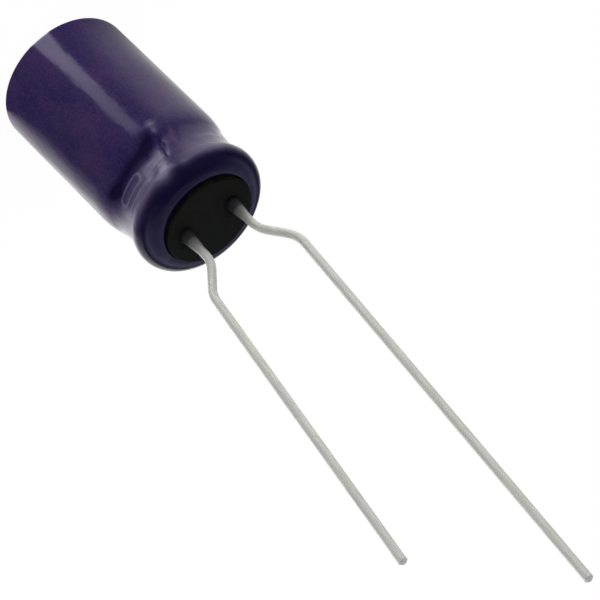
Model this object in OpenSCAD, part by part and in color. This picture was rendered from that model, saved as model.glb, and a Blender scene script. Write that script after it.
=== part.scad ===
// Radial aluminium electrolytic capacitor, standing on its closed head with the leads up.
// Z is the axis of the can. X runs from the short cathode lead to the long anode lead.
// Lengths are millimetres. The origin is the centre of the head, on the surface it stands on.

/* [Can] */
// Outside diameter of the aluminium can
can_d = 6.3; // [5.8:0.1:7.5]
// Height of the can from its closed head to the crest of its curled rim
can_h = 11.2; // [10:0.1:18]
// Thickness of the drawn wall
can_wall = 0.25; // [0.15:0.01:0.3]
// Thickness of the closed head
head_t = 0.3; // [0.2:0.01:0.5]
// Outer radius of the corner between the head and the wall
head_corner_r = 0.2; // [0.1:0.01:0.6]
// Length of each arm of the pressure vent scored into the head
vent_arm = 1.5; // [0.8:0.1:1.8]
// Width of the score at the surface
vent_w = 0.2; // [0.1:0.01:0.3]

/* [Neck and rim] */
// Height of the rim crest above the place where the wall starts to draw in
shoulder_drop = 3.85; // [3.6:0.05:4.2]
// Radius of the rounded shoulder above that place
shoulder_r = 3.2; // [2.8:0.1:3.6]
// Radius of the rolled groove that grips the bung
groove_r = 0.6; // [0.4:0.05:0.9]
// Outer radius of the rim's curled section
rim_r = 0.745; // [0.6:0.005:0.8]
// How far the widest line of the rim stays inside the line of the wall
rim_inset = 0.03; // [0:0.01:0.1]
// How far the curl of the rim runs on past its crest, over the edge of the bung
curl_over = 0.15; // [0.05:0.01:0.2]

/* [Sleeve] */
// Thickness of the shrunk sleeve
sleeve_t = 0.09; // [0.06:0.01:0.15]
// Radius in which the sleeve spans the groove
bridge_r = 2.9; // [2:0.1:3.5]
// How far the sleeve folds in over the head
head_lip = 0.9; // [0.5:0.05:1.3]

/* [Bung] */
// Height of the rubber bung from its inner end to its face
bung_h = 3.35; // [3:0.05:3.6]
// How far the face of the bung stands above the sleeve on the rim
bung_proud = 0.2; // [0:0.01:0.3]
// Radius of the rounded edge of the face
face_edge_r = 0.1; // [0.04:0.01:0.11]
// Width of the moulded dish around each lead
dish_d = 1.3; // [1.1:0.05:1.5]
// Depth of that dish
dish_depth = 0.1; // [0.05:0.01:0.2]

/* [Terminals] */
// Distance between the leads where they leave the bung
lead_pitch = 2.5; // [2.3:0.05:2.7]
// Diameter of the aluminium boss that the bung seals on
boss_d = 1.0; // [0.9:0.05:1.1]
// Diameter of the boss's neck, which comes out of the bung
neck_d = 0.65; // [0.6:0.05:0.8]
// Height of the neck above the face of the bung, up to its weld
neck_h = 0.4; // [0.3:0.05:0.5]
// Diameter of the weld where the neck meets the wire
weld_d = 0.54; // [0.5:0.01:0.6]
// Length over which the weld tapers to the wire
weld_l = 0.6; // [0.4:0.05:0.7]
// Thickness of the pressed tab that lies in the winding
tab_t = 0.18; // [0.1:0.01:0.25]
// Width of that tab
tab_w = 1.3; // [1:0.05:1.5]

/* [Leads] */
// Diameter of the tinned wire
wire_d = 0.4; // [0.3:0.01:0.5]
// Height above the rim of the bend where a lead starts to splay
kink_low = 2; // [1.9:0.05:2.3]
// Height above the rim of the bend where it turns back
kink_high = 3.55; // [3.4:0.05:4.5]
// Distance between the leads above the splay
formed_pitch = 4.6; // [4.2:0.1:5]
// Radius of both bends, on the centre line of the wire
bend_r = 1.5; // [0.5:0.05:1.7]
// Length of the anode lead above the splay
anode_run = 21.7; // [5:0.1:30]
// Length of the cathode lead above the splay
cathode_run = 16.2; // [4:0.1:25]
// Angle at which the anode lead leans in towards the axis
anode_lean_angle = 5; // [0:0.1:8]
// Angle at which the cathode lead leans out from the axis
cathode_lean_angle = 7.6; // [0:0.1:10]
// Length of the rounding at each cut end
tip_l = 0.08; // [0.03:0.01:0.12]

/* [Winding] */
// Radius of the open core left by the mandrel
core_r = 0.6; // [0.5:0.05:0.65]
// Thickness of the etched anode foil
anode_t = 0.1; // [0.07:0.005:0.12]
// Thickness of the cathode foil
cathode_t = 0.05; // [0.03:0.005:0.08]
// Thickness of each separator paper
paper_t = 0.04; // [0.03:0.005:0.06]
// Gap between the winding and the bung, which the tabs cross
bung_gap = 0.75; // [0.6:0.05:1.2]
// How far the foils stay back from each edge of the papers
foil_inset = 0.4; // [0.2:0.05:0.8]
// Thickness of the closing tape
tape_t = 0.05; // [0.03:0.005:0.08]
// How far the tape stays back from each edge of the papers
tape_inset = 0.8; // [0.5:0.05:1.5]

/* [Fits] */
// Clearance between the sleeve and the can
sleeve_fit = 0.01; // [0.005:0.005:0.03]
// Clearance between the bung and the can
bung_fit = 0.01; // [0.005:0.005:0.03]
// Clearance between a boss and its hole in the bung
boss_fit = 0.01; // [0.005:0.005:0.03]
// Gap between neighbouring layers of the winding
layer_gap = 0.01; // [0.005:0.001:0.015]
// Gap between the winding and the wall of the can
winding_fit = 0.05; // [0.02:0.01:0.2]
// Gap between the winding and the floor of the can
floor_fit = 0.02; // [0.01:0.01:0.1]

/* [Hidden] */
$fn = 64;

// Reach of a cutting shape past the surface that it cuts
over = 1;
// Overlap that makes two touching arcs of the neck cross instead
arc_lap = 0.00005;

// Levels and radii of the can
skin = sleeve_fit + sleeve_t;
wall_r = can_d / 2;
bore_r = wall_r - can_wall;
can_base = skin;
can_floor = can_base + head_t;
can_crest = can_base + can_h;
rim_top = can_crest + skin;
inner_corner_r = max(head_corner_r - can_wall, can_wall / 5);

// Centres of the arcs of the neck, in the half-plane of the profile
shoulder_at = [wall_r - shoulder_r, can_crest - shoulder_drop];
rim_at = [wall_r - rim_inset - rim_r, can_crest - rim_r];
mouth_r = rim_at.x - curl_over;

// Levels and radii of the bung
face_z = rim_top + bung_proud;
bung_base = face_z - bung_h;
face_r = mouth_r - bung_fit;
bung_chamfer = bung_h / 15;
cone_low = bung_base + bung_h * 0.6;
cone_high = bung_base + bung_h * 0.75;

// Levels of the winding
paper_base = can_floor + floor_fit;
paper_top = bung_base - bung_gap;
paper_h = paper_top - paper_base;

// Levels of the terminals
weld_z = face_z + neck_h;
root_l = bung_gap * 0.6;
boss_base = bung_base - root_l / 3;
splay = atan((formed_pitch - lead_pitch) / 2 / (kink_high - kink_low));

// Layers of the winding from the core outwards, and the pitch of one turn
layers = [anode_t, paper_t, cathode_t, paper_t];
anode_layer = 0;
inner_paper = anode_layer + 1;
cathode_layer = inner_paper + 1;
outer_paper = cathode_layer + 1;
tape_layer = outer_paper + 1;
turn_pitch = below(tape_layer);
tab_room = tab_t + layer_gap;

// Half-turns at which the two tabs lie, the anode's on the +X side and the cathode's opposite
tab_r = lead_pitch / 2 - tab_room / 2 - core_r;
anode_half = 2 * round(tab_r / turn_pitch);
cathode_half = 2 * round((tab_r - below(cathode_layer)) / turn_pitch - 0.5) + 1;

// Half-turns that fit in the bore
wound_r = bore_r - winding_fit - tape_t;
half_turns = floor(2 * (wound_r - core_r - turn_pitch - 2 * tab_room) / turn_pitch);

// Thickness and gaps of the layers that lie under one layer of the same turn
function below(layer) = layer == 0 ? 0 : layers[layer - 1] + layer_gap + below(layer - 1);

// Distance from the axis to the inner face of a layer, at the seam where a half-turn starts
function seam_r(layer, half) = core_r + below(layer) + half * turn_pitch / 2
    + (half >= anode_half ? tab_room : 0)
    + (half >= cathode_half + (layer < cathode_layer ? 2 : 0) ? tab_room : 0);

// Radius and offset of the half-turn that joins two seams
function arc_r(layer, half) = (seam_r(layer, half) + seam_r(layer, half + 1)) / 2;
function arc_shift(layer, half) = (seam_r(layer, half + 1) - seam_r(layer, half)) / 2;

// The +X side is wound from -Y to +Y, and the other side back again
function side(half) = half % 2 == 0 ? 1 : -1;

// Centre of a circle of radius r that touches the shoulder and the rim from outside
function hollow_at(r) = let (
        apart = rim_at - shoulder_at,
        reach = norm(apart),
        unit = apart / reach,
        along = (pow(shoulder_r + r, 2) - pow(rim_r + r, 2) + pow(reach, 2)) / (2 * reach),
        aside = sqrt(pow(shoulder_r + r, 2) - pow(along, 2)))
    shoulder_at + unit * along + [unit.y, -unit.x] * aside;

// Half-profile of the can, grown outwards, with its neck hollowed to radius r.
// It is closed at the bottom at the given level, with a rounded corner there,
// and ends at the top in the full round of the rim.
module profile(grow, r, bottom, corner) {
    hollow = hollow_at(r);
    body_r = wall_r + grow;
    intersection() {
        difference() {
            union() {
                translate([0, bottom + corner])
                    square([body_r, shoulder_at.y - bottom - corner]);
                translate([0, bottom]) square([body_r - corner, shoulder_at.y - bottom]);
                translate([body_r - corner, bottom + corner]) circle(corner);
                translate(shoulder_at) circle(shoulder_r + grow, $fn = 4 * $fn);
                polygon([[0, shoulder_at.y], shoulder_at, hollow, rim_at, [0, rim_at.y]]);
                translate(rim_at) circle(rim_r + grow);
            }
            translate(hollow) circle(r - grow + arc_lap, $fn = 4 * $fn);
        }
        translate([0, bottom]) square([body_r, can_crest + skin + over]);
    }
}

// The open mouth inside the edge of the rim
module mouth() {
    translate([0, rim_at.y]) square([mouth_r, rim_r + skin + over]);
}

// The drawn can, with its rolled groove and curled rim
module can() {
    color("silver")
        difference() {
            rotate_extrude() difference() {
                profile(0, groove_r, can_base, head_corner_r);
                profile(-can_wall, groove_r, can_floor, inner_corner_r);
                mouth();
            }
            vent_score();
        }
}

// Crossed V scores, along which the head opens if the pressure rises
module vent_score() {
    for (turn = [0, 90])
        rotate([0, 0, turn])
            translate([-vent_arm, 0, can_base])
                rotate([45, 0, 0])
                    translate([0, -vent_w / 2, -vent_w / 2] * sqrt(0.5))
                        cube([2 * vent_arm, vent_w * sqrt(0.5), vent_w * sqrt(0.5)]);
}

// The shrunk sleeve, which spans the groove and ends on the rim and under the head
module sleeve() {
    color("midnightblue")
        rotate_extrude() difference() {
            profile(skin, bridge_r, 0, head_corner_r + skin);
            profile(sleeve_fit, bridge_r, can_base - sleeve_fit, head_corner_r + sleeve_fit);
            mouth();
            translate([0, -over]) square([wall_r - head_lip, can_base + over]);
        }
}

// The rubber bung, squeezed by the groove and held down by the rim
module rubber_bung() {
    color("dimgray")
        difference() {
            rotate_extrude() difference() {
                union() {
                    intersection() {
                        profile(-can_wall - bung_fit, groove_r, can_floor, inner_corner_r);
                        translate([0, bung_base]) square([wall_r, bung_h]);
                    }
                    bung_face();
                }
                bung_base_edge();
            }
            for (end = [-1, 1])
                translate([end * lead_pitch / 2, 0, 0]) lead_hole();
        }
}

// The part of the bung that stands in the mouth of the rim, with a rounded edge
module bung_face() {
    edge_at = [face_r - face_edge_r, face_z - face_edge_r];
    translate([0, rim_at.y]) square([face_r, edge_at.y - rim_at.y]);
    translate([0, edge_at.y]) square([edge_at.x, face_edge_r]);
    intersection() {
        translate(edge_at) circle(face_edge_r);
        translate(edge_at) square(face_edge_r);
    }
}

// The bevel around the inner end of the bung
module bung_base_edge() {
    bevel_r = bore_r - bung_fit - bung_chamfer;
    polygon([[bevel_r, bung_base], [bevel_r + 2 * bung_chamfer, bung_base - over],
        [bevel_r + 2 * bung_chamfer, bung_base + 2 * bung_chamfer]]);
}

// The stepped hole that a boss and its neck seal in
module lead_hole() {
    boss_hole = boss_d + 2 * boss_fit;
    neck_hole = neck_d + 2 * boss_fit;
    translate([0, 0, bung_base - over]) cylinder(h = cone_low - bung_base + over, d = boss_hole);
    translate([0, 0, cone_low]) cylinder(h = cone_high - cone_low, d1 = boss_hole, d2 = neck_hole);
    translate([0, 0, cone_high]) cylinder(h = face_z - cone_high + over, d = neck_hole);
    translate([0, 0, face_z - dish_depth])
        cylinder(h = dish_depth, d1 = neck_hole, d2 = dish_d);
}

// One strip of the roll, from one half-turn up to another
module strip(layer, thickness, first, last, inset) {
    for (half = [first : last])
        translate([0, side(half) * arc_shift(layer, half), paper_base + inset])
            rotate([0, 0, side(half) * -90])
                rotate_extrude(angle = 180, $fn = 96)
                    translate([arc_r(layer, half), 0])
                        square([thickness, paper_h - 2 * inset]);
}

// The etched foil that carries the oxide
module anode_foil() {
    color("gray") strip(anode_layer, anode_t, 1, half_turns - 3, foil_inset);
}

// The paper between the anode foil and the cathode foil of the same turn
module inner_separator() {
    color("wheat") strip(inner_paper, paper_t, 0, half_turns - 1, 0);
}

// The foil that makes contact with the electrolyte
module cathode_foil() {
    color("lightgray") strip(cathode_layer, cathode_t, 1, half_turns - 2, foil_inset);
}

// The paper between the cathode foil and the anode foil of the next turn
module outer_separator() {
    color("wheat") strip(outer_paper, paper_t, 0, half_turns - 1, 0);
}

// The tape that keeps the roll closed
module closing_tape() {
    color("khaki") strip(tape_layer, tape_t, half_turns - 2, half_turns - 1, tape_inset);
}

// A terminal on one side: pressed tab, root, boss and the neck that comes out of the bung
module terminal(layer, half) {
    tab_base = paper_base + 2 * foil_inset;
    inner_r = arc_r(layer, half) - tab_room;
    intersection() {
        translate([0, side(half) * arc_shift(layer, half), tab_base])
            rotate_extrude()
                translate([inner_r, 0]) square([tab_t, boss_base - tab_base]);
        tab_outline(side(half), tab_base);
    }
    translate([side(half) * lead_pitch / 2, 0, 0]) boss();
}

// The tab seen from the axis: a blade that narrows to the width of the boss
module tab_outline(end, tab_base) {
    translate([end > 0 ? 0 : -wall_r, 0, 0])
        rotate([90, 0, 90])
            linear_extrude(wall_r)
                polygon([[-tab_w / 2, tab_base], [tab_w / 2, tab_base], [tab_w / 2, paper_top],
                    [boss_d / 2, boss_base], [-boss_d / 2, boss_base], [-tab_w / 2, paper_top]]);
}

// The round part of a terminal, from its root on the tab to its weld
module boss() {
    translate([0, 0, boss_base - root_l / 2])
        cylinder(h = root_l / 2, d1 = boss_d / 2, d2 = boss_d);
    translate([0, 0, boss_base]) cylinder(h = cone_low - boss_base, d = boss_d);
    translate([0, 0, cone_low]) cylinder(h = cone_high - cone_low, d1 = boss_d, d2 = neck_d);
    translate([0, 0, cone_high]) cylinder(h = face_z - cone_high, d = neck_d);
    translate([0, 0, face_z]) cylinder(h = neck_h, d1 = neck_d, d2 = weld_d);
}

// The terminal stitched to the anode foil
module anode_tab() {
    color("gainsboro") terminal(anode_layer, anode_half);
}

// The terminal stitched to the cathode foil
module cathode_tab() {
    color("gainsboro") terminal(cathode_layer, cathode_half);
}

// A straight length of wire, with what follows at its end
module straight(length) {
    cylinder(h = length, d = wire_d, $fn = 32);
    translate([0, 0, length]) children();
}

// A bend of the wire towards +X, or away from it if the angle is negative
module bend(angle) {
    way = sign(angle);
    turn = abs(angle);
    mirror([way < 0 ? 1 : 0, 0, 0])
        translate([bend_r, 0, 0])
            rotate([90, 0, 180])
                rotate_extrude(angle = turn, $fn = 96)
                    translate([bend_r, 0]) circle(d = wire_d, $fn = 32);
    translate([way * bend_r * (1 - cos(turn)), 0, bend_r * sin(turn)])
        rotate([0, angle, 0]) children();
}

// The cut end of the wire
module tip() {
    cylinder(h = tip_l, d1 = wire_d, d2 = wire_d - 2 * tip_l, $fn = 32);
}

// A lead on the +X side: weld, splay, and a run that leans out by the given angle
module lead(run, lean) {
    back = splay - lean;
    low_cut = bend_r * tan(splay / 2);
    high_cut = bend_r * tan(back / 2);
    splay_l = norm([(formed_pitch - lead_pitch) / 2, kink_high - kink_low]);
    translate([lead_pitch / 2, 0, weld_z]) {
        cylinder(h = weld_l, d1 = weld_d, d2 = wire_d, $fn = 32);
        translate([0, 0, weld_l])
            straight(rim_top + kink_low - weld_z - weld_l - low_cut)
            bend(splay)
            straight(splay_l - low_cut - high_cut)
            bend(-back)
            straight(run - high_cut - tip_l)
            tip();
    }
}

// The long lead
module anode_lead() {
    color("lightgray") lead(anode_run, -anode_lean_angle);
}

// The short lead
module cathode_lead() {
    color("lightgray") mirror([1, 0, 0]) lead(cathode_run, cathode_lean_angle);
}

sleeve();
can();
rubber_bung();
anode_foil();
inner_separator();
cathode_foil();
outer_separator();
closing_tape();
anode_tab();
cathode_tab();
anode_lead();
cathode_lead();
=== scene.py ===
import math

import bmesh
import bpy
from mathutils import Matrix, Vector


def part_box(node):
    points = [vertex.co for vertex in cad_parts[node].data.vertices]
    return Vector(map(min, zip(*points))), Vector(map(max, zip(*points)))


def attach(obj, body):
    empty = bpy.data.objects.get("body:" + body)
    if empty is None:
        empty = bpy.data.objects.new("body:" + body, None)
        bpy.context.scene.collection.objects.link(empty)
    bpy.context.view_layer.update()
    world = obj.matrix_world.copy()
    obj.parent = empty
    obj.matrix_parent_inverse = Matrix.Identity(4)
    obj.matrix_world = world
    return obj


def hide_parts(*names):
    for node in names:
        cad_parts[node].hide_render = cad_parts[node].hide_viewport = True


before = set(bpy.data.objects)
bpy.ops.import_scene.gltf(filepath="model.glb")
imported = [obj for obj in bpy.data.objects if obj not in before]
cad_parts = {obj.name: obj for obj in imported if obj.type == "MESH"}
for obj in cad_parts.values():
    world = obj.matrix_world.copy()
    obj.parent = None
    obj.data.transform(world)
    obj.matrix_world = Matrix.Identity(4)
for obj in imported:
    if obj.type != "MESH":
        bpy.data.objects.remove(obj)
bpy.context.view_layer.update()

MM = 0.001

# Lengths are millimetres and angles are degrees, unless a comment says otherwise

# Camera: the photograph's viewing angle, in which the leads point to the lower right
CAMERA_AZIMUTH = 197.5
CAMERA_ELEVATION = 34.31
CAMERA_ROLL = 134.463
CAMERA_AIM = (1.1525, -2.7779, 15.790)
CAMERA_DISTANCE = 130
CAMERA_LENS = 180.41
SENSOR_WIDTH = 36
CLIP_NEAR = 1
CLIP_FAR = 10000

# Sleeve, as in the CAD model
WALL_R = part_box("sleeve")[1][0] / MM
RIM_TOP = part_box("sleeve")[1][2] / MM
FILM_T = 0.09
CORNER_R = 0.3
LIP_R = 2.25
MOUTH_R = 2.225
SHOULDER_R = 3.3
SHOULDER_DROP = 3.95
SHOULDER_AT = Vector((WALL_R - SHOULDER_R, RIM_TOP - SHOULDER_DROP))
HOLLOW_R = 2.8
RIM_R = 0.845
RIM_INSET = 0.03
RIM_AT = Vector((WALL_R - RIM_INSET - RIM_R, RIM_TOP - RIM_R))

# Steps along each stretch of the sleeve's outline, and around the sleeve
LIP_STEPS = 8
CORNER_STEPS = 10
WALL_STEPS = 30
SHOULDER_STEPS = 24
HOLLOW_STEPS = 48
RIM_STEPS = 30
STEPS_AROUND = 320

# Neck: its radius, the heights between which it may crease, and the length in which creases fade out
# at both. The film is pale in places up to the last height, partly from stretching and partly as painted
# highlight, and painted shade darkens it in others.
NECK_R = 3
ARC_PER_DEGREE = math.radians(1) * NECK_R
NECK_LOW = 7.6
NECK_HIGH = 10.3
NECK_FADE = 0.35
PALE_HIGH = 11.3

# Ridges and folds in the neck: angle and height of both ends, half-width, height above the film
CREASES = [
    ((88, 8.65), (94, 9.6), 0.12, -0.045),
    ((94.5, 9.8), (95.5, 10.2), 0.2, -0.012),
    ((84.5, 8.9), (90.5, 9.7), 0.1, 0.01),
    ((96, 9.15), (99.5, 9.7), 0.11, 0.018),
    ((87, 7.8), (87.6, 7.95), 0.16, 0.03),
    ((88.2, 8.2), (88.6, 8.35), 0.12, 0.025),
    ((86.6, 8.9), (87.4, 9.05), 0.1, 0.02),
    ((71, 8.5), (77, 9.2), 0.12, -0.018),
    ((75, 8.5), (81, 9.2), 0.12, 0.01),
    ((119, 9.35), (121, 9.9), 0.09, -0.018),
    ((120, 9.72), (152, 9.76), 0.035, -0.015),
    ((104, 9.9), (158, 9.86), 0.04, 0.015),
    ((22, 9.3), (62, 9.45), 0.12, 0.012),
    # Guessed, on the side that the photograph doesn't show
    ((196, 8.9), (222, 9.6), 0.1, -0.05),
    ((228, 9.15), (246, 9.45), 0.11, -0.045),
    ((233, 8.95), (252, 9.2), 0.08, 0.03),
    ((258, 9.4), (296, 9.25), 0.12, -0.06),
    ((262, 9.75), (300, 9.6), 0.035, 0.03),
    ((318, 8.8), (322, 9.8), 0.08, -0.06),
    ((325, 8.6), (327, 9.5), 0.07, 0.04),
    ((338, 9.5), (368, 9.3), 0.1, -0.05),
    ((4, 9.2), (20, 8.95), 0.12, 0.03),
]
# Share of its height that a crease has lost at its ends, and the painted highlight that a ridge gets
# and the painted shade that a fold gets, per millimetre of its height
CREASE_END_LOSS = 0.5
PAINTED_LIGHT_PER_MM = 16

# A flat dimple with a raised rim: angle and height of both ends, half-width, depth, and the rim
DIMPLE_ENDS = ((126, 9.31), (149, 9.26))
DIMPLE_W = 0.21
DIMPLE_DEPTH = 0.03
DIMPLE_RIM_H = 0.035
DIMPLE_RIM_W = 0.045
# Painted highlight on that rim, and the share of its paleness and painted highlight that the film
# loses in the dimple
DIMPLE_RIM_HIGHLIGHT = 0.6
DIMPLE_DULLING = 0.25

# Where the film is pale, partly from stretching and partly as painted highlight, and below 0 where it
# is darkened by painted shade: both ends, half-width, share
PALE_AND_PAINTED_LIGHT_BANDS = [
    ((99, 9.45), (116, 9.5), 0.27, 0.85),
    ((110, 9.5), (117, 9.95), 0.24, 0.6),
    ((101, 10.05), (108, 10.45), 0.34, 0.66),
    ((108, 10.4), (152, 10.35), 0.26, 0.5),
    ((122, 9.85), (166, 10.0), 0.38, 0.52),
    ((122, 9.2), (124, 9.5), 0.1, 0.3),
    ((118, 9.3), (162, 9.3), 0.3, 0.22),
    ((42, 10.1), (90, 10.15), 0.34, 0.2),
    ((56, 10.5), (88, 10.55), 0.24, 0.42),
    ((86, 7.85), (88.5, 8.3), 0.2, 0.3),
    ((160, 9.75), (205, 9.75), 0.42, 0.8),
    ((28, 9.5), (90, 9.65), 0.34, 0.12),
    # Painted shade in the dark band on the shoulder
    ((95, 8.35), (103, 8.75), 0.3, -1.0),
    ((103, 8.7), (148, 8.72), 0.27, -0.95),
    ((147, 8.62), (156, 8.45), 0.28, -1.0),
    # Guessed, on the side that the photograph doesn't show
    ((205, 9.85), (255, 9.7), 0.33, 0.5),
    ((255, 9.95), (335, 9.7), 0.3, 0.6),
    ((335, 9.6), (385, 9.6), 0.34, 0.4),
    ((206, 8.45), (252, 8.4), 0.25, -0.5),
    ((290, 8.4), (334, 8.45), 0.25, -0.5),
]
# Name under which the sleeve's mesh gives its material the paleness, with its painted highlight and
# painted shade, at each point
PALE_AND_PAINTED_LIGHT_ATTRIBUTE = "paleness_with_painted_light"


def vector_mm(*mm):
    return Vector(mm) * MM


# Meshes

def arc(centre, radius, start, end, steps):
    """Points of an arc from one angle to another, both ends included."""
    angles = [math.radians(start + (end - start) * i / steps) for i in range(steps + 1)]
    return [centre + radius * Vector((math.cos(a), math.sin(a))) for a in angles]


def straight(start, end, steps):
    """Points of a line, with neither end included."""
    return [start.lerp(end, i / steps) for i in range(1, steps)]


def angle_of(v):
    return math.degrees(math.atan2(v.y, v.x))


def hollow_centre():
    """Centre of the neck's hollow arc, which touches the shoulder and the rim."""
    apart = RIM_AT - SHOULDER_AT
    long_side, short_side = SHOULDER_R + HOLLOW_R, RIM_R + HOLLOW_R
    along = (long_side ** 2 - short_side ** 2 + apart.length ** 2) / (2 * apart.length)
    aside = math.sqrt(long_side ** 2 - along ** 2)
    unit = apart.normalized()
    return SHOULDER_AT + unit * along + Vector((unit.y, -unit.x)) * aside


def film_outline(inset):
    """Half-profile of the film from its lip under the head to the mouth, set in by a distance."""
    wall_r = WALL_R - inset
    lip = Vector((LIP_R, inset))
    corner_at = Vector((WALL_R - CORNER_R, CORNER_R))
    hollow_at = hollow_centre()
    to_hollow = angle_of(hollow_at - SHOULDER_AT)
    from_hollow = angle_of(RIM_AT - hollow_at)
    mouth = math.degrees(math.acos((MOUTH_R - RIM_AT.x) / (RIM_R - inset)))
    points = [lip]
    points += straight(lip, Vector((corner_at.x, inset)), LIP_STEPS)
    points += arc(corner_at, CORNER_R - inset, -90, 0, CORNER_STEPS)
    points += straight(Vector((wall_r, CORNER_R)), Vector((wall_r, SHOULDER_AT.y)), WALL_STEPS)
    points += arc(SHOULDER_AT, SHOULDER_R - inset, 0, to_hollow, SHOULDER_STEPS)
    points += arc(hollow_at, HOLLOW_R + inset, to_hollow + 180, from_hollow, HOLLOW_STEPS)[1:]
    points += arc(RIM_AT, RIM_R - inset, from_hollow - 180, mouth, RIM_STEPS)[1:]
    return points


def from_line(angle, z, start, end):
    """Distance of a place on the neck from a line along its surface, and how near its ends it is."""
    turn = (angle - start[0] + 180) % 360 - 180
    place = Vector((turn * ARC_PER_DEGREE, z - start[1]))
    run = Vector(((end[0] - start[0]) * ARC_PER_DEGREE, end[1] - start[1]))
    along = min(max(place.dot(run) / run.length_squared, 0), 1)
    return (place - run * along).length, abs(2 * along - 1)


def bell(off, width):
    """A smooth swell of 1 that dies out beyond the width."""
    return math.exp(-(off / width) ** 2)


def film_marks(angle, z):
    """Height of all the creases at a place, and how pale the film is there, partly from stretching and
    partly as painted highlight, and below 0 its painted shade.
    """
    if not NECK_LOW < z < PALE_HIGH:
        return 0, 0
    lift = pale = 0
    for start, end, width, share in PALE_AND_PAINTED_LIGHT_BANDS:
        off, _ = from_line(angle, z, start, end)
        pale += share * bell(off, width)
    if z < NECK_HIGH:
        for start, end, width, height in CREASES:
            off, end_on = from_line(angle, z, start, end)
            swell = height * bell(off, width) * (1 - CREASE_END_LOSS * end_on ** 4)
            lift += swell
            # Painted highlight on a ridge, painted shade in a fold
            pale += PAINTED_LIGHT_PER_MM * swell
        # The dimple's rim gets a painted highlight, and its inside loses part of its paleness
        off = from_line(angle, z, *DIMPLE_ENDS)[0] - DIMPLE_W
        edge = bell(off, DIMPLE_RIM_W)
        inside = 1 / (1 + math.exp(2 * off / DIMPLE_RIM_W))
        lift += DIMPLE_RIM_H * edge - DIMPLE_DEPTH * inside
        pale = pale * (1 - DIMPLE_DULLING * inside) + DIMPLE_RIM_HIGHLIGHT * edge
    hold = min(1, (z - NECK_LOW) / NECK_FADE, max(NECK_HIGH - z, 0) / NECK_FADE)
    return hold * lift, min(max(pale, -1), 1)


def link_mesh(name, mesh):
    for face in mesh.faces:
        face.smooth = True
    data = bpy.data.meshes.new(name)
    mesh.to_mesh(data)
    mesh.free()
    piece = bpy.data.objects.new(name, data)
    bpy.context.scene.collection.objects.link(piece)
    return piece


def make_sleeve():
    """The film as one closed skin, which carries how pale it is at each point, with its painted highlight
    and painted shade, for its material.
    """
    outline = film_outline(0) + film_outline(FILM_T)[::-1]
    mesh = bmesh.new()
    paleness_with_painted_light = mesh.verts.layers.float.new(PALE_AND_PAINTED_LIGHT_ATTRIBUTE)
    rings = []
    for turn in range(STEPS_AROUND):
        angle = 360 * turn / STEPS_AROUND
        c, s = math.cos(math.radians(angle)), math.sin(math.radians(angle))
        ring = []
        for point in outline:
            lift, pale = film_marks(angle, point.y)
            r = point.x + lift
            vertex = mesh.verts.new(vector_mm(r * c, r * s, point.y))
            vertex[paleness_with_painted_light] = pale
            ring.append(vertex)
        rings.append(ring)
    count = len(outline)
    for turn in range(STEPS_AROUND):
        here, there = rings[turn], rings[(turn + 1) % STEPS_AROUND]
        for i in range(count):
            j = (i + 1) % count
            mesh.faces.new((here[i], there[i], there[j], here[j]))
    bmesh.ops.recalc_face_normals(mesh, faces=mesh.faces)
    return link_mesh("shrink_sleeve", mesh)


# Node trees

# Sockets of the mix node that hold colours
MIX_A = 6
MIX_B = 7
MIX_RESULT = 2
NEUTRAL = (1, 1, 1)


def is_output(value):
    return hasattr(value, "is_output")


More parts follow.
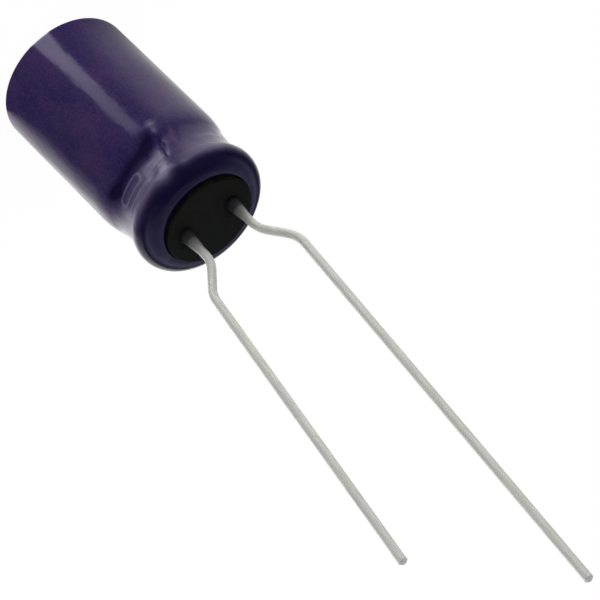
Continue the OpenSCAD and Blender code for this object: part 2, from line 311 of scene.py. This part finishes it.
class Shader:
    """Short calls for the nodes that the finishes and the studio share."""

    def __init__(self, owner):
        owner.use_nodes = True
        self.tree = owner.node_tree

    def feed(self, socket, value):
        """Links a socket to an output, or sets it to a plain value."""
        if is_output(value):
            self.tree.links.new(value, socket)
        else:
            socket.default_value = value

    def feed_colour(self, socket, colour):
        self.feed(socket, colour if is_output(colour) else (*colour, 1))

    def node(self, kind, **inputs):
        node = self.tree.nodes.new("ShaderNode" + kind)
        for name, value in inputs.items():
            self.feed(node.inputs[name.replace("_", " ")], value)
        return node

    def maths(self, operation, first, *others):
        """The operation on the first value and on each of the others in turn."""
        for other in others:
            node = self.node("Math")
            node.operation = operation
            for socket, value in zip(node.inputs, (first, other)):
                self.feed(socket, value)
            first = node.outputs["Value"]
        return first

    def split(self, vector):
        """The X, Y and Z of a vector."""
        node = self.node("SeparateXYZ", Vector=vector)
        return node.outputs["X"], node.outputs["Y"], node.outputs["Z"]

    def along(self, value, low, high):
        """Where a value lies between two others, from 0 to 1."""
        return self.node("MapRange", Value=value, From_Min=low, From_Max=high).outputs["Result"]

    def mix(self, factor, a, b):
        """One colour where the factor is 0 or less, and the other where it is 1."""
        node = self.node("Mix")
        node.data_type = "RGBA"
        self.feed(node.inputs["Factor"], factor)
        self.feed_colour(node.inputs[MIX_A], a)
        self.feed_colour(node.inputs[MIX_B], b)
        return node.outputs[MIX_RESULT]

    def ramp(self, value, *stops):
        """Colours or greys at places from 0 to 1."""
        node = self.node("ValToRGB", Fac=value)
        elements = node.color_ramp.elements
        for i, (place, colour) in enumerate(stops):
            element = elements[i] if i < len(elements) else elements.new(place)
            element.position = place
            grey = not hasattr(colour, "__len__")
            element.color = (colour, colour, colour, 1) if grey else (*colour, 1)
        return node.outputs["Color"]

    def bright_ramp(self, value, stops):
        """Greys that may be brighter than 1."""
        top = max(grey for _, grey in stops)
        greys = self.ramp(value, *[(place, grey / top) for place, grey in stops])
        return self.maths("MULTIPLY", greys, top)

    def compass(self, x, y, stops):
        """Greys at azimuths of a direction, from -180 to 180 and from +X towards +Y."""
        turn = self.along(self.maths("ARCTAN2", y, x), -math.pi, math.pi)
        return self.bright_ramp(turn, [((azimuth + 180) / 360, grey) for azimuth, grey in stops])

    def stretched(self, x, y, z):
        """The place on the object, divided by the size of a detail along each axis."""
        place = self.node("TexCoord").outputs["Object"]
        scale = (1 / MM / x, 1 / MM / y, 1 / MM / z)
        return self.node("Mapping", Vector=place, Scale=scale).outputs["Vector"]

    def place_mm(self):
        """X, Y and Z of the place on the object."""
        return self.split(self.stretched(1, 1, 1))

    def noise(self, vector, detail=3, roughness=0.5):
        node = self.node("TexNoise", Vector=vector, Scale=1, Detail=detail, Roughness=roughness)
        return node.outputs["Fac"]


class Finish(Shader):
    """A material whose surface is set by the names of its inputs."""

    def __init__(self, name):
        self.material = bpy.data.materials.new(name)
        super().__init__(self.material)
        self.surface = self.tree.nodes["Principled BSDF"]

    def set(self, **inputs):
        for name, value in inputs.items():
            self.feed(self.surface.inputs[name.replace("_", " ")], value)

    def attribute(self, name):
        """A value that the mesh carries at each point."""
        node = self.node("Attribute")
        node.attribute_name = name
        return node.outputs["Fac"]

    def bump(self, height, distance, strength=1, below=None):
        """A surface that a height from 0 to 1 lifts by a distance, on top of another bump."""
        node = self.node("Bump", Height=height, Distance=distance * MM, Strength=strength)
        if below is not None:
            self.feed(node.inputs["Normal"], below)
        return node.outputs["Normal"]


# Materials

# Film: its two tints, its colour on the rim, darkened there as painted shade, its painted shade in dark
# bands, its pale colour where it is stretched and painted highlight, and the tint of its gloss
FILM_BLUE = (0.0175, 0.0125, 0.070)
FILM_PURPLE = (0.043, 0.0225, 0.083)
FILM_RIM_SHADE = (0.0070, 0.0045, 0.029)
FILM_PAINTED_SHADE = (0.0065, 0.0035, 0.031)
FILM_PALE_AND_HIGHLIGHT = (0.155, 0.14, 0.215)
FILM_GLOSS = (0.95, 0.78, 1.0, 1.0)
# How much rougher the film is where it is palest
PALE_ROUGHNESS = 0.15

RUBBER_DARK = (0.0024, 0.0024, 0.0019)
RUBBER_LIGHT = (0.0078, 0.0077, 0.0061)
RUBBER_DUST = (0.3, 0.3, 0.27)
RUBBER_GLOSS = (1.0, 0.92, 0.72, 1.0)

# Heights over which the grey of the necks and welds, a painted shade near the bung, gives way to bright
# metal, and how it does
BUNG_SHADE_SPAN = (11.5, 13.6)
BUNG_SHADE_FADE = ((0.0, 0.0), (0.2, 0.08), (0.42, 0.34), (0.65, 0.8), (0.85, 1.0))
BUNG_SHADE_GREY = (0.06, 0.061, 0.074)

PAPER_DARK = (0.55, 0.46, 0.3)
PAPER_LIGHT = (0.74, 0.66, 0.48)
TAPE_DARK = (0.6, 0.5, 0.24)
TAPE_LIGHT = (0.76, 0.68, 0.42)


def sleeve_film():
    """Indigo film, darker on the rim and in bands as painted shade, and pale in streaks in the neck,
    partly from stretching and partly as painted highlight.
    """
    film = Finish("indigo_shrink_film")
    cloud = film.noise(film.stretched(1.3, 1.3, 2.4))
    mottle = film.noise(film.stretched(0.1, 0.1, 0.12), detail=1)
    mean = film.maths("MULTIPLY", film.maths("ADD", cloud, mottle), 0.5)
    tint = film.ramp(mean, (0.36, FILM_BLUE), (0.64, FILM_PURPLE))
    height = film.place_mm()[2]
    # Painted shade: the film is darker on the rim
    rim_shade = film.along(height, RIM_AT.y - RIM_R / 2, RIM_AT.y + RIM_R / 2)
    tint = film.mix(rim_shade, tint, FILM_RIM_SHADE)
    paleness_with_painted_light = film.attribute(PALE_AND_PAINTED_LIGHT_ATTRIBUTE)
    # Painted shade where the paleness is below 0
    tint = film.mix(film.maths("MULTIPLY", paleness_with_painted_light, -1), tint, FILM_PAINTED_SHADE)
    streaks = film.noise(film.stretched(0.8, 0.8, 0.14), detail=4, roughness=0.6)
    streaks = film.ramp(streaks, (0.3, 0.62), (0.65, 1.0))
    # Pale streaks, partly from stretching and partly as painted highlight
    pale = film.maths("MULTIPLY", film.maths("MAXIMUM", paleness_with_painted_light, 0), streaks)
    haze = film.ramp(film.noise(film.stretched(0.5, 0.5, 1.2)), (0.3, 0.13), (0.75, 0.21))
    rough = film.maths("ADD", haze, film.maths("MULTIPLY", pale, PALE_ROUGHNESS))
    grain = film.noise(film.stretched(0.25, 0.25, 0.35), detail=4)
    relief = film.bump(grain, 0.003, 0.6, below=film.bump(cloud, 0.08, 0.5))
    film.set(Base_Color=film.mix(pale, tint, FILM_PALE_AND_HIGHLIGHT), Roughness=rough, Normal=relief)
    film.set(Specular_IOR_Level=0.46, Specular_Tint=FILM_GLOSS)
    return film.material


def moulded_rubber():
    rubber = Finish("moulded_rubber")
    cloud = rubber.noise(rubber.stretched(0.7, 0.7, 0.7))
    tint = rubber.ramp(cloud, (0.3, RUBBER_DARK), (0.75, RUBBER_LIGHT))
    specks = rubber.noise(rubber.stretched(0.12, 0.12, 0.12), detail=1)
    dust = rubber.ramp(specks, (0.74, 0.0), (0.8, 0.12))
    rough = rubber.ramp(cloud, (0.3, 0.62), (0.7, 0.8))
    grain = rubber.noise(rubber.stretched(0.06, 0.06, 0.06), detail=5)
    relief = rubber.bump(grain, 0.012, 0.8)
    rubber.set(Base_Color=rubber.mix(dust, tint, RUBBER_DUST), Roughness=rough, Normal=relief)
    rubber.set(Specular_IOR_Level=0.25, Specular_Tint=RUBBER_GLOSS)
    return rubber.material


def metal(name, dark, light, streak, roughness, grain=0.004, bare=1.0, shade_near_bung=False):
    """A metal whose tone and gloss vary in streaks of the given size along X, Y and Z, with a painted
    shade near the bung if asked.
    """
    finish = Finish(name)
    streaks = finish.noise(finish.stretched(*streak), detail=4)
    tone = finish.ramp(streaks, (0.3, dark), (0.7, light))
    if shade_near_bung:
        # Painted shade: darker near the bung, fading to bright metal higher up
        height = finish.place_mm()[2]
        bright = finish.ramp(finish.along(height, *BUNG_SHADE_SPAN), *BUNG_SHADE_FADE)
        tone = finish.mix(bright, BUNG_SHADE_GREY, tone)
    smooth, rough = roughness
    rough = finish.ramp(streaks, (0.3, rough), (0.7, smooth))
    finish.set(Base_Color=tone, Roughness=rough, Normal=finish.bump(streaks, grain, 0.8), Metallic=bare)
    return finish.material


def soaked_paper():
    paper = Finish("soaked_paper")
    fibres = paper.noise(paper.stretched(0.03, 0.03, 0.12), detail=5)
    tint = paper.ramp(fibres, (0.3, PAPER_DARK), (0.75, PAPER_LIGHT))
    rough = paper.ramp(fibres, (0.3, 0.5), (0.7, 0.85))
    paper.set(Base_Color=tint, Roughness=rough, Normal=paper.bump(fibres, 0.003))
    return paper.material


def tape_film():
    tape = Finish("closing_tape_film")
    cloud = tape.noise(tape.stretched(0.4, 0.4, 0.2), detail=4)
    tint = tape.ramp(cloud, (0.3, TAPE_DARK), (0.75, TAPE_LIGHT))
    rough = tape.ramp(cloud, (0.3, 0.25), (0.7, 0.4))
    tape.set(Base_Color=tint, Roughness=rough, Normal=tape.bump(cloud, 0.002))
    return tape.material


def finish_nodes():
    """Gives every CAD node but the sleeve, which the built film replaces, the finish of its material."""
    etched = metal("etched_foil", dark=(0.3, 0.3, 0.31), light=(0.5, 0.5, 0.51),
                   streak=(0.05, 0.05, 0.05), roughness=(0.5, 0.75))
    plain = metal("plain_foil", dark=(0.55, 0.55, 0.56), light=(0.7, 0.7, 0.71),
                  streak=(0.4, 0.4, 0.05), roughness=(0.3, 0.45))
    drawn = metal("drawn_aluminium", dark=(0.68, 0.68, 0.7), light=(0.82, 0.82, 0.84),
                  streak=(0.08, 0.08, 1.5), roughness=(0.25, 0.4))
    # The tabs and the leads carry a painted shade near the bung
    pressed = metal("pressed_aluminium", dark=(0.6, 0.6, 0.61), light=(0.78, 0.78, 0.78),
                    streak=(0.1, 0.1, 0.3), roughness=(0.35, 0.55), bare=0.7, shade_near_bung=True)
    tinned = metal("tinned_wire", dark=(0.67, 0.666, 0.628), light=(0.86, 0.855, 0.808),
                   streak=(0.09, 0.09, 1.4), roughness=(0.34, 0.5), grain=0.0006, bare=0.45, shade_near_bung=True)
    paper = soaked_paper()
    finishes = {
        "can": drawn, "rubber_bung": moulded_rubber(), "anode_foil": etched, "cathode_foil": plain,
        "inner_separator": paper, "outer_separator": paper, "closing_tape": tape_film(),
        "anode_tab": pressed, "cathode_tab": pressed, "anode_lead": tinned, "cathode_lead": tinned,
    }
    for node, material in finishes.items():
        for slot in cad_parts[node].material_slots:
            slot.material = material


# Studio

# A gloss surface doesn't see the lamps, but a floor and a sky that are drawn for it here. Brightness
# is given at azimuths, and at distances that are shares of a reach.
# A bright strip that runs away from its foot
STRIP_FOOT = (-0.47, 0.4)
STRIP = ((79, 0.0), (83, 1.0), (98, 1.0), (102, 0.0))
STRIP_REACH = 30
STRIP_FALL = ((0.0, 2.6), (0.2, 2.4), (0.3, 1.7), (0.42, 1.2), (0.6, 0.95), (0.85, 0.0))
STRIP_TINT = (1.0, 1.14, 1.06)
# A pale field around the object, which is dark on the side of the strip and dim close by
FIELD = ((-180, 0.05), (-158, 0.06), (-147, 0.8), (-130, 1.3), (-60, 1.4), (-32, 0.95), (0, 0.85),
         (40, 0.8), (62, 0.3), (75, 0.12), (105, 0.08), (150, 0.05), (180, 0.05))
FIELD_REACH = 100
FIELD_FALL = ((0.0, 0.25), (0.034, 0.32), (0.046, 0.65), (0.06, 0.95), (0.1, 0.95), (0.14, 1.1),
              (0.2, 0.9), (0.35, 0.35), (1.0, 0.1))
# A wedge beside the sleeve, which makes the left edge of the wall pale in the photograph
EDGE_FOOT = (-3.2, 0.4)
EDGE = ((-168, 0.0), (-150, 0.35), (-135, 0.75), (-118, 0.9), (-78, 0.9), (-64, 0.0))
# A spot that glints in the shoulder
SPOT_AT = (6.3, 20.1)
SPOT_REACH = 4
SPOT = ((0.4, 1.6), (1.0, 0.0))
# The sky, by its azimuth and by the sine of its height
SKY = ((-180, 0.4), (-150, 0.85), (-90, 0.85), (-20, 0.4), (10, 0.12), (50, 0.03), (140, 0.03),
       (165, 0.2), (180, 0.35))
SKY_RISE = ((0.0, 0.06), (0.2, 0.19), (0.42, 0.85), (0.58, 0.55), (0.9, 0.3))
SKY_TINT = (0.9, 1.0, 1.25)

# Half a side of the floor, and how far below the object it lies
FLOOR_HALF = 2000
FLOOR_DROP = 0.002
FLOOR_GREY = (0.8, 0.8, 0.8, 1)
# White that the camera sees on the floor, and its share there. The rest is the lit floor with its
# shadow.
WHITE = 1.08
WHITE_SHARE = 0.88
# What the floor and the world give to the object besides gloss
FLOOR_LIGHT = 1.7
WORLD_LIGHT = 0.38

# Soft lamps around the object: azimuth and elevation, both sides, power in microwatts
MICROWATT = 1e-6
LAMP_AIM = (0, 0, 8)
LAMP_DISTANCE = 120
LAMPS = {
    "key": (60, 40, (110, 110), 40000),
    "left_back": (210, 38, (80, 80), 20000),
    "right_back": (-35, 34, (80, 60), 7000),
}


def seen_on_floor(shader):
    """Brightness and tint of the floor for rays that a gloss surface sends to it."""
    x, y, _ = shader.place_mm()

    def way_from(foot):
        return shader.maths("SUBTRACT", x, foot[0]), shader.maths("SUBTRACT", y, foot[1])

    def fall(a, b, reach, stops):
        squares = shader.maths("ADD", shader.maths("MULTIPLY", a, a), shader.maths("MULTIPLY", b, b))
        distance = shader.maths("POWER", squares, 0.5)
        return shader.bright_ramp(shader.along(distance, 0, reach), stops)

    strip = shader.compass(*way_from(STRIP_FOOT), STRIP)
    tint = shader.mix(strip, NEUTRAL, STRIP_TINT)
    strip = shader.maths("MULTIPLY", strip, fall(x, y, STRIP_REACH, STRIP_FALL))
    field = shader.maths("MULTIPLY", shader.compass(x, y, FIELD), fall(x, y, FIELD_REACH, FIELD_FALL))
    edge = shader.compass(*way_from(EDGE_FOOT), EDGE)
    spot = fall(*way_from(SPOT_AT), SPOT_REACH, SPOT)
    return shader.maths("MAXIMUM", strip, field, edge, spot), tint


def floor_finish():
    """White for the camera, light for the object, and for gloss what is drawn on the floor."""
    finish = Finish("pale_floor")
    finish.set(Base_Color=FLOOR_GREY, Roughness=0.9, Specular_IOR_Level=0.1)
    rays = finish.node("LightPath").outputs
    is_gloss, is_diffuse = rays["Is Glossy Ray"], rays["Is Diffuse Ray"]
    is_clear = finish.maths("MAXIMUM", rays["Is Camera Ray"], rays["Is Transmission Ray"])
    drawn, tint = seen_on_floor(finish)
    white = finish.maths("MULTIPLY", is_clear, WHITE)
    gloss = finish.maths("MULTIPLY", is_gloss, drawn)
    light = finish.maths("MULTIPLY", is_diffuse, FLOOR_LIGHT)
    glow = finish.node("Emission", Strength=finish.maths("MAXIMUM", white, gloss, light),
                       Color=finish.mix(is_gloss, NEUTRAL, tint))
    share = finish.maths("MAXIMUM", finish.maths("MULTIPLY", is_clear, WHITE_SHARE), is_diffuse, is_gloss)
    mix = finish.node("MixShader", Fac=share)
    _, rest, shared = mix.inputs
    finish.feed(rest, finish.surface.outputs["BSDF"])
    finish.feed(shared, glow.outputs["Emission"])
    finish.feed(finish.tree.nodes["Material Output"].inputs["Surface"], mix.outputs["Shader"])
    return finish.material


def make_floor():
    """A floor that the camera sees as white, and that keeps the object's shadow."""
    mesh = bmesh.new()
    bmesh.ops.create_grid(mesh, x_segments=1, y_segments=1, size=FLOOR_HALF * MM)
    floor = link_mesh("floor", mesh)
    floor.location.z = -FLOOR_DROP * MM
    floor.data.materials.append(floor_finish())


def make_world():
    """White for the camera, an even light, and for gloss a sky that is paler behind the object."""
    world = bpy.data.worlds.new("studio")
    bpy.context.scene.world = world
    shader = Shader(world)
    background = shader.tree.nodes["Background"]
    rays = shader.node("LightPath").outputs
    is_gloss = rays["Is Glossy Ray"]
    x, y, z = shader.split(shader.node("TexCoord").outputs["Generated"])
    sky = shader.maths("MULTIPLY", shader.compass(x, y, SKY), shader.bright_ramp(z, SKY_RISE))
    gloss = shader.maths("MULTIPLY", is_gloss, sky)
    rest = shader.maths("MULTIPLY", shader.maths("SUBTRACT", 1, is_gloss), WORLD_LIGHT)
    light = shader.maths("ADD", gloss, rest)
    shader.feed(background.inputs["Strength"], shader.maths("MAXIMUM", light, rays["Is Camera Ray"]))
    shader.feed(background.inputs["Color"], shader.mix(is_gloss, NEUTRAL, SKY_TINT))


def make_lamp(name, azimuth, elevation, sides, power):
    """A soft lamp that faces the aim. Neither the camera nor gloss sees it."""
    data = bpy.data.lights.new(name, "AREA")
    data.shape = "RECTANGLE"
    data.size, data.size_y = sides[0] * MM, sides[1] * MM
    data.energy = power * MICROWATT
    lamp = bpy.data.objects.new(name, data)
    bpy.context.scene.collection.objects.link(lamp)
    a, e = math.radians(azimuth), math.radians(elevation)
    way = Vector((math.cos(a) * math.cos(e), math.sin(a) * math.cos(e), math.sin(e)))
    lamp.location = vector_mm(*LAMP_AIM) + way * LAMP_DISTANCE * MM
    lamp.rotation_euler = way.to_track_quat("Z", "Y").to_euler()
    lamp.visible_camera = False
    lamp.visible_glossy = False


def make_camera():
    data = bpy.data.cameras.new("camera")
    data.sensor_width = SENSOR_WIDTH
    data.lens = CAMERA_LENS
    data.clip_start, data.clip_end = CLIP_NEAR * MM, CLIP_FAR * MM
    camera = bpy.data.objects.new("camera", data)
    bpy.context.scene.collection.objects.link(camera)
    a, e = math.radians(CAMERA_AZIMUTH), math.radians(CAMERA_ELEVATION)
    back = Vector((math.sin(a) * math.cos(e), -math.cos(a) * math.cos(e), math.sin(e)))
    level = Vector((0, 0, 1)).cross(back).normalized()
    right = Matrix.Rotation(math.radians(CAMERA_ROLL), 3, back) @ level
    up = back.cross(right)
    place = Matrix((right, up, back)).transposed().to_4x4()
    place.translation = vector_mm(*CAMERA_AIM) + back * CAMERA_DISTANCE * MM
    camera.matrix_world = place
    bpy.context.scene.camera = camera


def make_studio():
    make_world()
    make_floor()
    make_camera()
    for name, settings in LAMPS.items():
        make_lamp(name, *settings)


make_studio()
finish_nodes()
sleeve = make_sleeve()
sleeve.data.materials.append(sleeve_film())
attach(sleeve, "root")
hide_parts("sleeve")

bpy.context.scene.view_settings.view_transform = "Standard"
